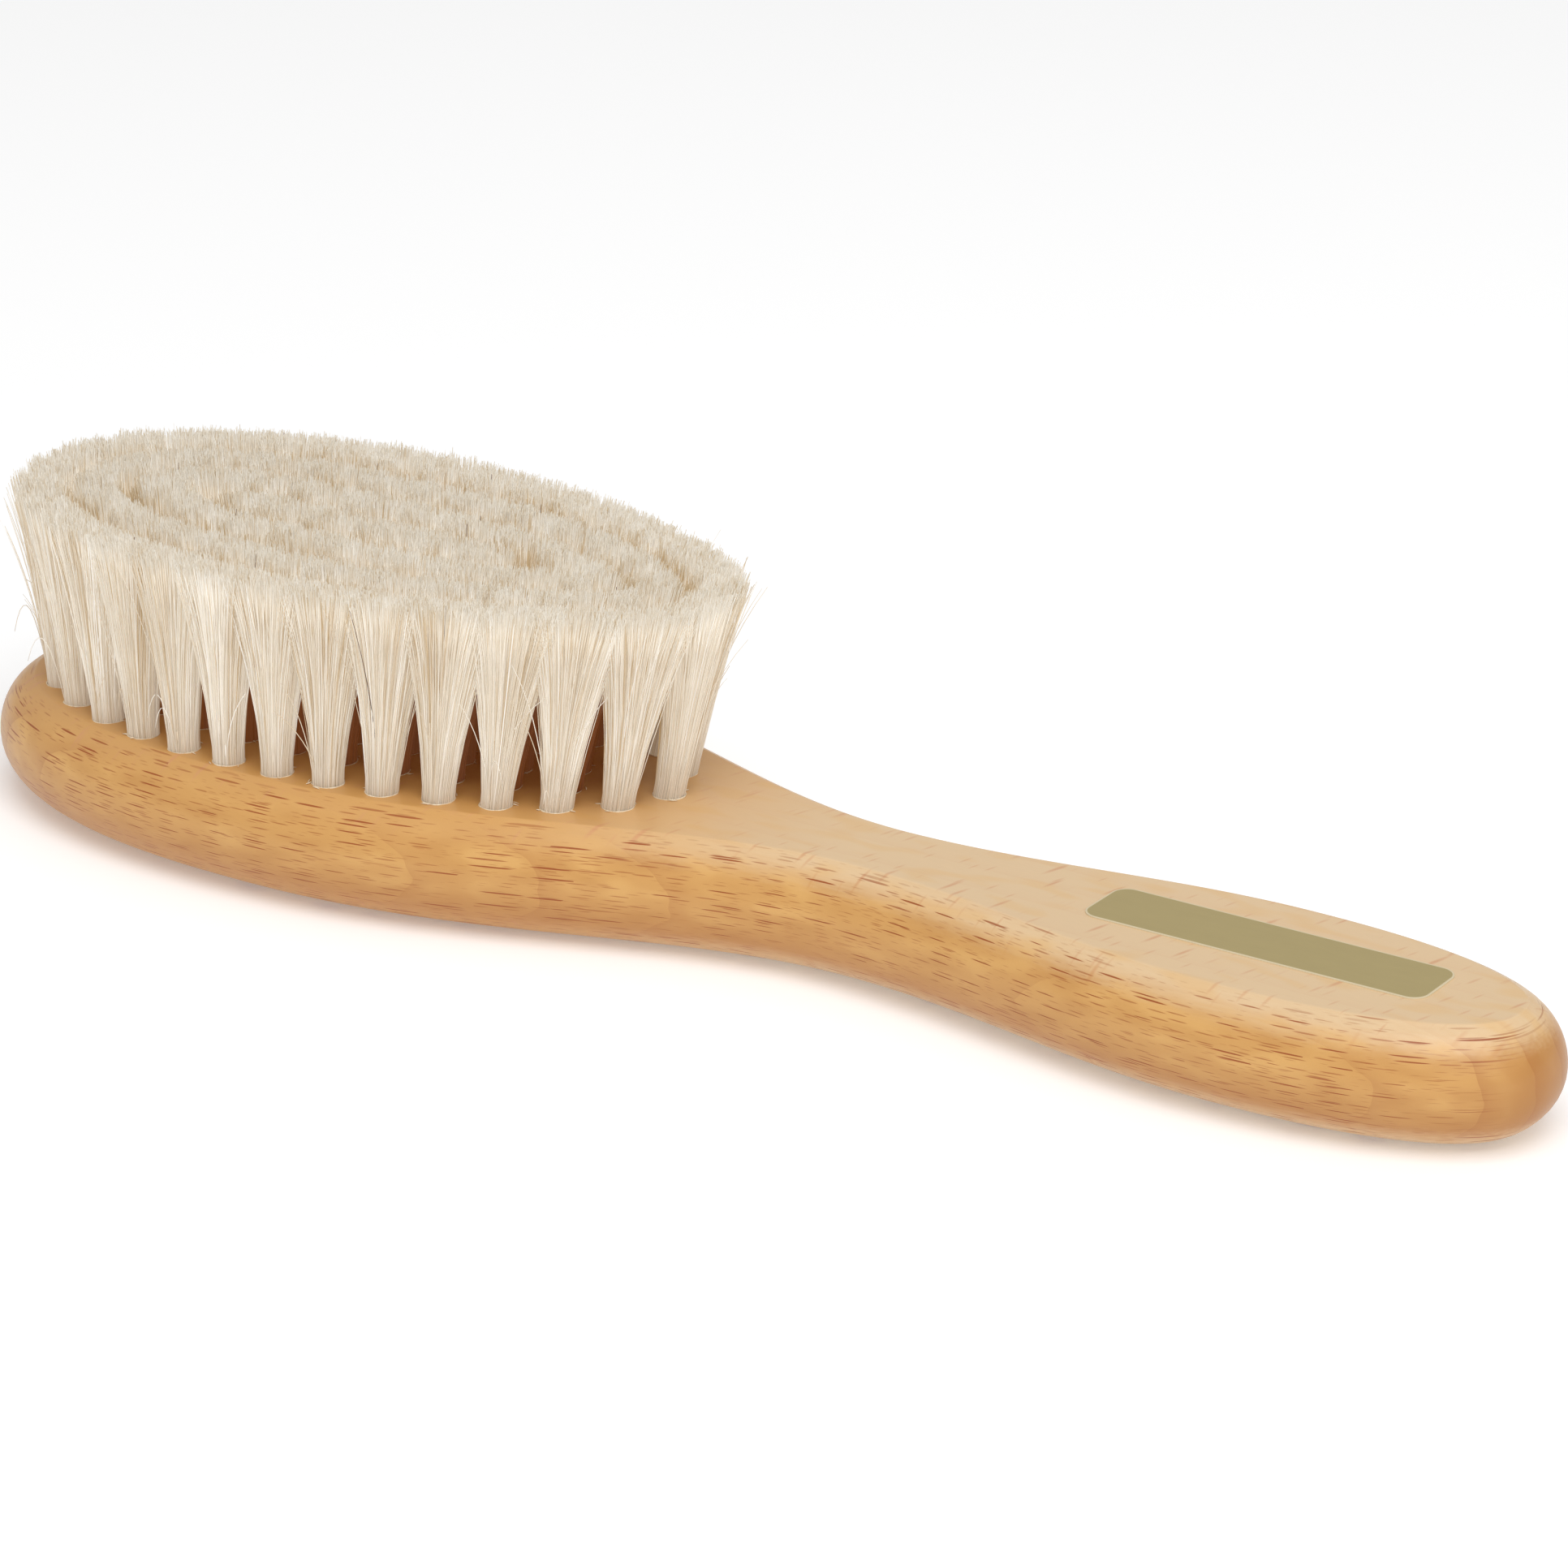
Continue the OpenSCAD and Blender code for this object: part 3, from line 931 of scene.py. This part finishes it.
def loose_paths(wood, tufts, bores, kind, count, rng, steps=10):
    """Paths of single hairs that have left their tuft.

    Each is a parabola from a root in its bore, past a bend, to a tip that lies off to one side.
    The ranges of a kind are the tip's height as a share of the trimmed height, and its ways
    outwards and along the ring in millimetres. The last two numbers are the bend's height as a
    share of the tip's and its place on the way to the tip.
    """
    root_out, root_along = 0.9, 0.6
    high, out, side, rise, turn = {
        "crossing": ((0.35, 0.85), (0.3, 1.2), (2.0, 5.5), 0.6, 0.12),
        "flyaway": ((0.75, 1.03), (0.6, 2.6), (0.0, 1.8), 0.55, 0.2),
        "curled": ((0.05, 0.22), (1.2, 2.8), (0.5, 2.4), 2.6, 0.5),
    }[kind]
    own = rng.integers(0, len(bores), count)
    if kind == "flyaway":
        ends = np.argsort(-np.abs(bores[:, 0] - bores[:, 0].mean()))[: len(bores) // 2]
        own = rng.choice(ends, count)
    along = ring_tangents(bores)[own]
    outward = np.stack([along[:, 1], -along[:, 0]], -1)
    root = bores[own] + outward * tufts.root_radius * root_out
    root += along * rng.uniform(-root_along, root_along, (count, 1)) * tufts.root_radius
    share = rng.uniform(*high, (count, 1))
    sense = np.sign(rng.random((count, 1)) - 0.5)
    tip = root + lean(wood, tufts, bores[own]) * share
    fan = (tufts.top_across - tufts.root_radius) * share**tufts.fan_bend
    tip += outward * (fan + rng.uniform(*out, (count, 1)) * MM)
    tip += along * sense * rng.uniform(*side, (count, 1)) * MM
    height = share * tufts.height
    start = raised(root, wood.thickness)[:, None]
    bend = raised(root + (tip - root) * turn, wood.thickness + height * rise)[:, None]
    end = raised(tip, wood.thickness + height)[:, None]
    curve = parabola(start, bend, end, np.linspace(0, 1, steps)[None, :, None])
    return np.concatenate([start - (0, 0, tufts.in_bore), curve], 1)


def dark_paths(wood, tufts, rings, rng, tip=(-28 * MM, -22.1 * MM), steps=9):
    """Paths of the dark hairs: one down the near wall to its tip and the others in the tufts.

    The one on the wall belongs to the tuft whose top is nearest to its tip, and comes out of it
    halfway up. All end just above the trim.
    """
    off_middle, over_trim = 0.4, 1.02
    share = np.linspace(0, 1, steps)
    share = np.concatenate([[-tufts.in_bore / tufts.height], share])
    outer = rings["outer"]
    slopes = lean(wood, tufts, outer)
    tip = np.array([tip])
    near = np.linalg.norm(outer + slopes - tip, axis=1).argmin()
    mouth = outer[near] + unit(tip - outer[near] - slopes[near]) * tufts.root_radius * off_middle
    still = np.zeros((1, 2))
    height = np.array([tufts.height * over_trim])
    lines = mouth, slopes[near : near + 1], tip - mouth - slopes[near]
    paths = [hair_lines(wood, tufts, *lines, share, height, still)]
    for kind in ("outer", "middle", "inner"):
        count = tufts.dark_hairs // 3
        own = rng.integers(0, len(rings[kind]), count)
        root = in_disc(rng, count)
        still = np.zeros((count, 2))
        lines = fanned(wood, tufts, rings, kind, own, root, root, still)
        height = tufts.height + rng.uniform(0.1, 0.5, count) * MM
        paths.append(hair_lines(wood, tufts, *lines, share, height, still))
    return np.concatenate(paths)


def single_hairs(name, paths, radius, tones, finish, rng):
    """One piece of thin tapering hairs that stand alone."""
    count, steps = paths.shape[:2]
    share = np.linspace(0, 1, steps)
    radii = radius * (0.8 + 0.4 * rng.random((count, 1))) * (1 - 0.5 * share**3)
    points, faces = strands(paths, radii, 2 * np.pi * rng.random(count))
    add_piece(name, points, faces, finish, (), strand_map(tones, share))


def hair_finish(colours, name, low, share, fade, cap):
    """Soft hair: each hair's tone comes from its column of the map, from deep cream to ivory.

    A share of the low colour, a painted shade low down in the tuft, fades out along the hair
    between the two places in fade. A weak glow stands for the light that pale hair lets through.
    The share cap makes the cut ends duller, a painted shade on the trimmed top, and takes their
    glow.
    """
    f = Finish(name, Roughness=0.45, Specular_IOR_Level=0.4, Emission_Strength=0.2)
    start, end = fade
    tone, along, _ = f.parts(f.add("ShaderNodeUVMap", {"uv_map": BAKE_MAP}))
    stops = [(0.0, colours.hair_deep), (0.5, colours.hair_mid), (1.0, colours.hair_light)]
    colour = f.add("ShaderNodeValToRGB", {"stops": stops}, {"Fac": tone})
    # Painted shade low down in the tuft
    colour = f.mix(along.step(end, start) * share, colour, low)
    # Painted shade on the trimmed top: the cut ends are duller
    colour = f.mix(along.step(0.965, 1.0) * cap * 0.4, colour, colours.hair_cut)
    glow = f.mix(along.step(0.93, 1.0) * cap, colour, (0, 0, 0, 1))
    return f.set(Base_Color=colour, Emission_Color=glow)


def dark_finish(colours):
    """Dark hair, a little browner towards its tip."""
    f = Finish("dark_hair", Roughness=0.4)
    _, along, _ = f.parts(f.add("ShaderNodeUVMap", {"uv_map": BAKE_MAP}))
    return f.set(Base_Color=f.mix(along * 0.35, colours.hair_dark, colours.wood_ray))


# ---- burrs, label and anchors


def lips(wood, bores, rng, around=36, overhang=0.04 * MM, sunk=0.02 * MM):
    """A thin torn lip round the mouth of each bore: a closed ring of triangular section.

    Its width and height wander with the angle a as a sum of three sines of a, 3 a and 7 a. Its
    crest's place and height are shares of its width.
    """
    middle, swing_by, crest_out, crest_up = 0.13, 0.035, 0.4, 0.45
    turn = np.arange(around) * 2 * np.pi / around
    swing = sum(
        np.sin(k * turn + 2 * np.pi * rng.random((len(bores), 1))) for k in (1, 3, 7)
    )
    width = (middle + swing_by * swing) * MM
    inner = np.full_like(width, wood.bore_diameter / 2 - overhang)
    radius = np.stack([inner + width, inner, inner + width * crest_out], -1)
    low = np.full_like(width, wood.thickness - sunk)
    height = np.stack([low, low, wood.thickness + width * crest_up], -1)
    flat = bores[:, None, None] + circle(turn)[None, :, None] * radius[..., None]
    points = raised(flat, height[..., None]).reshape(-1, 3)
    one = grid_faces(around + 1, 3) % (around * 3)
    faces = one[None] + (np.arange(len(bores)) * around * 3)[:, None, None]
    return points, faces.reshape(-1, 4)


def chips(wood, bores, rng, each=3):
    """Torn fibres that lie on the wood beside the mouths, mostly along the grain."""
    own = np.repeat(np.arange(len(bores)), each)
    count = len(own)
    turn = 2 * np.pi * rng.random(count)
    away = wood.bore_diameter / 2 + rng.uniform(0.1, 0.4, (count, 1)) * MM
    middle = bores[own] + circle(turn) * away
    lie = rng.normal(0, 0.6, count)
    half = circle(lie) * rng.uniform(0.15, 0.5, (count, 1)) * MM
    flat = middle[:, None] + half[:, None] * np.array([-1, 0, 1])[None, :, None]
    rise = wood.thickness + (0.03 + rng.random((count, 3)) * 0.12) * MM
    paths = raised(flat, rise[..., None])
    radii = np.array([0.03, 0.07, 0.02]) * MM * rng.uniform(0.7, 1.3, (count, 1))
    return strands(paths, radii, turn, sides=4)


def burr_finish(colours):
    """Pale torn beech, darker in places."""
    f = Finish("torn_fibre", Roughness=0.75)
    spot = f.noise(f.place(), (0.8, 0.5, 0.5), 1.0)
    return f.set(Base_Color=f.mix(spot.step(0.4, 0.8) * 0.5, colours.burr, colours.wood_side))


def rounded_loop(low, high, corner, inset, steps=7):
    """Outline of a rectangle with round corners, drawn in by an inset, as an array of [x, y]."""
    arc = circle(np.linspace(0, np.pi / 2, steps)) * (corner - inset)
    loop = []
    for sx, sy in ((1, 1), (-1, 1), (-1, -1), (1, -1)):
        middle = np.where([sx > 0, sy > 0], high - corner, low + corner)
        part = arc * (sx, sy)
        loop.append(middle + (part if sx * sy > 0 else part[::-1]))
    return np.concatenate(loop)


def foil_finish(colours, label, low, high):
    """Matt foil with a pale rim, brushed a little along its length.

    The distance inwards from the edge is found from the point's place in the rounded rectangle:
    with q = |p| - (half - corner), it is corner - |max(q, 0)| - min(max(qx, qy), 0).
    """
    f = Finish("matt_foil", Specular_IOR_Level=0.5)
    place = f.place()
    x, y, _ = f.parts(place)
    centre, half = (low + high) / 2 / MM, (high - low) / 2 / MM
    corner = label.corner / MM
    qx = (x - centre.x).size() - (half.x - corner)
    qy = (y - centre.y).size() - (half.y - corner)
    px, py = qx.maths("MAXIMUM", qx, 0.0), qy.maths("MAXIMUM", qy, 0.0)
    within = qx.maths("MINIMUM", qx.maths("MAXIMUM", qx, qy), 0.0)
    inwards = corner - (px * px + py * py) ** 0.5 - within
    rim = inwards.step(label.rim / MM, 0.6 * label.rim / MM)
    grain = f.noise(place, (3.0, 0.12, 1.0), 2.0)
    cloud = f.noise(place, (12, 4, 4), 1.0)
    brushed = f.shaded(colours.foil, 0.94 + grain * 0.06 + cloud * 0.06)
    colour = f.mix(rim, brushed, colours.foil_edge)
    metal = 0.35 - rim * 0.35
    height = f.bump(cloud * 0.7 + grain * 0.3, 0.02 * MM)
    return f.set(Base_Color=colour, Metallic=metal, Roughness=0.42 + grain * 0.1, Normal=height)


def anchor_finish(colours):
    """Drawn flat wire: bright along its length, with fine scratches."""
    f = Finish("flat_wire", Metallic=1.0)
    scratch = f.noise(f.place(), (0.05, 1.5, 0.05), 3.0)
    colour = f.shaded(colours.metal, 0.8 + scratch * 0.3)
    return f.set(Base_Color=colour, Roughness=0.25 + scratch * 0.25)


# ---- operators


class BRUSH_OT_stage(bpy.types.Operator):
    """Sets up the camera, the soft lights and the pale floor"""

    bl_idname = "brush.stage"
    bl_label = "Stage"

    def execute(self, context):
        scene, stage = context.scene, context.scene.brush_stage
        a, e = stage.azimuth, stage.elevation
        back = Vector((math.sin(a) * math.cos(e), -math.cos(a) * math.cos(e), math.sin(e)))
        right = Vector((math.cos(a), math.sin(a), 0))
        up = back.cross(right)
        camera = new_object("camera", bpy.data.cameras.new("camera"))
        camera.data.sensor_width, camera.data.lens = 36, stage.lens
        camera.data.clip_start, camera.data.clip_end = 10 * MM, 20
        place = back * stage.distance + right * stage.aim_right + up * stage.aim_up
        turned = Matrix((right, up, back)).transposed().to_4x4()
        camera.matrix_world = Matrix.Translation(place) @ turned
        scene.camera = camera

        key_place = right * 0.1 + back * 0.65 + Vector((0, 0, 0.95))
        fill_place = right * 0.35 + back * 1.05 + Vector((0, 0, 0.3))
        self.lamp("key", stage.key, stage.lamp_side, key_place)
        self.lamp("fill", stage.fill, stage.lamp_side, fill_place)
        world = bpy.data.worlds.new("even_light")
        world.use_nodes = True
        sky = world.node_tree.nodes["Background"].inputs
        sky["Color"].default_value, sky["Strength"].default_value = (1, 1, 1, 1), stage.sky
        scene.world = world
        scene.view_settings.view_transform = "Standard"

        half = stage.floor_side / 2
        corners = [(-half, -half, 0), (half, -half, 0), (half, half, 0), (-half, half, 0)]
        mesh = bpy.data.meshes.new("floor")
        mesh.from_pydata(corners, [], [(0, 1, 2, 3)])
        f = Finish("pale_floor", Roughness=0.9, Specular_IOR_Level=0.1, Emission_Strength=0.22)
        white = scene.brush_colours.floor
        mesh.materials.append(f.set(Base_Color=white, Emission_Color=white))
        new_object("floor", mesh)
        return {"FINISHED"}

    @staticmethod
    def lamp(name, power, side, place):
        """A square lamp that looks at the middle of the brush."""
        light = bpy.data.lights.new(name, "AREA")
        light.energy, light.size = power, side
        lamp = new_object(name, light)
        lamp.location = place
        lamp.rotation_euler = place.to_track_quat("Z", "Y").to_euler()


class BRUSH_OT_wood(bpy.types.Operator):
    """Makes the wooden body with its bores"""

    bl_idname = "brush.wood"
    bl_label = "Wood"

    def execute(self, context):
        scene = context.scene
        points, faces, sharp = wood_mesh(scene.brush_wood, scene.brush_tufts)
        finish = wood_finish(scene.brush_colours)
        add_piece("body", points, faces, finish, nodes=["wood_body"], sharp=sharp)
        return {"FINISHED"}


class BRUSH_OT_tufts(bpy.types.Operator):
    """Fills every bore with its tuft of hair"""

    bl_idname = "brush.tufts"
    bl_label = "Tufts"

    def execute(self, context):
        scene = context.scene
        wood, tufts = scene.brush_wood, scene.brush_tufts
        rings = bore_rings(wood, tufts)
        self.check_places(rings, lean(wood, tufts, rings["outer"]))
        colours = scene.brush_colours
        # Painted shade: grey low down on the outer hairs, and duller cut ends on the top
        outside = hair_finish(
            colours, "goat_hair", colours.hair_root, share=0.6, fade=(0.22, 0.5), cap=0.72
        )
        # Painted shade: deep warm brown low down on the inner hairs, and duller cut ends on the
        # top
        inside = hair_finish(
            colours, "inner_hair", colours.hair_shade, share=0.95, fade=(0.5, 0.84), cap=0.9
        )
        batches = {"outer": 6, "middle": 12, "inner": 9, "centre": 6}
        seed = 11
        for kind, batch in batches.items():
            for first in range(0, len(rings[kind]), batch):
                members = np.arange(first, min(first + batch, len(rings[kind])))
                nodes = [f"tufts_{kind}"]
                if kind in ("outer", "middle"):
                    nodes = [f"tuft_{kind}_{i + 1}" for i in members]
                name = f"hair_{kind}_{first // batch + 1}"
                finish = outside if kind == "outer" else inside
                hair_piece(name, wood, tufts, rings, kind, members, finish, nodes, seed)
                seed += 1
        return {"FINISHED"}

    @staticmethod
    def check_places(rings, slopes, allowed=1.5 * MM):
        """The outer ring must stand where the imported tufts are."""
        for i, (bore, slope) in enumerate(zip(rings["outer"], slopes, strict=True)):
            low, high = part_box(f"tuft_outer_{i + 1}")
            middle = np.array([low.x + high.x, low.y + high.y]) / 2
            if np.linalg.norm(middle - bore - slope / 2) > allowed:
                raise RuntimeError(f"tuft_outer_{i + 1} isn't where the ring puts it")


class BRUSH_OT_loose_hairs(bpy.types.Operator):
    """Adds the loose pale hairs and the few dark ones"""

    bl_idname = "brush.loose_hairs"
    bl_label = "Loose Hairs"

    def execute(self, context):
        scene = context.scene
        wood, tufts, colours = scene.brush_wood, scene.brush_tufts, scene.brush_colours
        rings = bore_rings(wood, tufts)
        rng = np.random.default_rng(71)
        paths = []
        for kind in ("crossing", "flyaway", "curled"):
            count = getattr(tufts, f"{kind}_hairs")
            paths.append(loose_paths(wood, tufts, rings["outer"], kind, count, rng))
        paths = np.concatenate(paths)
        tones = rng.uniform(0.05, 0.999, len(paths)) ** 0.6
        finish = bpy.data.materials["goat_hair"]
        single_hairs("hair_loose", paths, tufts.hair_radius, tones, finish, rng)
        paths = dark_paths(wood, tufts, rings, rng)
        tones = np.linspace(0, 0.999, len(paths))
        thick = 1.3 * tufts.hair_radius
        single_hairs("hair_dark", paths, thick, tones, dark_finish(colours), rng)
        return {"FINISHED"}


class BRUSH_OT_burrs(bpy.types.Operator):
    """Adds the torn fibres round the mouths of the bores"""

    bl_idname = "brush.burrs"
    bl_label = "Burrs"

    def execute(self, context):
        scene = context.scene
        wood, tufts = scene.brush_wood, scene.brush_tufts
        bores = np.concatenate(list(bore_rings(wood, tufts).values()))
        rng = np.random.default_rng(83)
        points, rims = lips(wood, bores, rng)
        loose, faces = chips(wood, bores, rng)
        faces = [rims, *(f + len(points) for f in faces)]
        points = np.concatenate([points, loose])
        add_piece("bore_burrs", points, faces, burr_finish(scene.brush_colours))
        return {"FINISHED"}


class BRUSH_OT_label(bpy.types.Operator):
    """Sticks the bare foil label on the handle"""

    bl_idname = "brush.label"
    bl_label = "Label"

    def execute(self, context):
        scene = context.scene
        label, worn = scene.brush_label, scene.brush_label.edge_drop
        low, high = np.array(LABEL_LOW), np.array(LABEL_HIGH)
        levels = [(0, low[2]), (0, high[2] - worn), (worn, high[2]), (2 * worn, high[2])]
        loops = [rounded_loop(low[:2], high[:2], label.corner, inset) for inset, _ in levels]
        points = raised(np.stack(loops), np.array(levels)[:, 1, None, None])
        rows, around = points.shape[:2]
        under = np.arange(around)[None, ::-1]
        upper = (rows - 1) * around + np.arange(around)[None]
        faces = [grid_faces(rows, around), under, upper]
        finish = foil_finish(scene.brush_colours, label, LABEL_LOW, LABEL_HIGH)
        sharp = np.repeat([1, 0, 0, 0], around)
        points = points.reshape(-1, 3)
        add_piece(
            "foil_label", points, faces, finish, nodes=["label"], sharp=sharp
        )
        return {"FINISHED"}


class BRUSH_OT_anchors(bpy.types.Operator):
    """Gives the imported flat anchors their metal"""

    bl_idname = "brush.anchors"
    bl_label = "Anchors"

    def execute(self, context):
        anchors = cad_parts["tuft_anchors"]
        anchors.data.materials.clear()
        anchors.data.materials.append(anchor_finish(context.scene.brush_colours))
        return {"FINISHED"}


class BRUSH_PT_panel(bpy.types.Panel):
    """Lists the steps that build the brush"""

    bl_idname = "BRUSH_PT_panel"
    bl_label = "Soft Hair Brush"
    bl_space_type = "VIEW_3D"
    bl_region_type = "UI"
    bl_category = "Brush"

    def draw(self, context):
        for step in STEPS:
            self.layout.operator(step.bl_idname)


STEPS = (
    BRUSH_OT_stage,
    BRUSH_OT_wood,
    BRUSH_OT_tufts,
    BRUSH_OT_loose_hairs,
    BRUSH_OT_burrs,
    BRUSH_OT_label,
    BRUSH_OT_anchors,
)
SETTINGS = {
    "brush_wood": WoodSizes,
    "brush_tufts": TuftSizes,
    "brush_label": LabelSizes,
    "brush_colours": Finishes,
    "brush_stage": StageSizes,
}


def register():
    for kind in (*SETTINGS.values(), *STEPS, BRUSH_PT_panel):
        bpy.utils.register_class(kind)
    for name, kind in SETTINGS.items():
        setattr(bpy.types.Scene, name, bpy.props.PointerProperty(type=kind))


def unregister():
    for name in SETTINGS:
        delattr(bpy.types.Scene, name)
    for kind in (*SETTINGS.values(), *STEPS, BRUSH_PT_panel):
        bpy.utils.unregister_class(kind)


def main():
    register()
    bpy.ops.brush.stage()
    bpy.ops.brush.wood()
    bpy.ops.brush.tufts()
    bpy.ops.brush.loose_hairs()
    bpy.ops.brush.burrs()
    bpy.ops.brush.label()
    bpy.ops.brush.anchors()


if __name__ == "__main__":
    main()
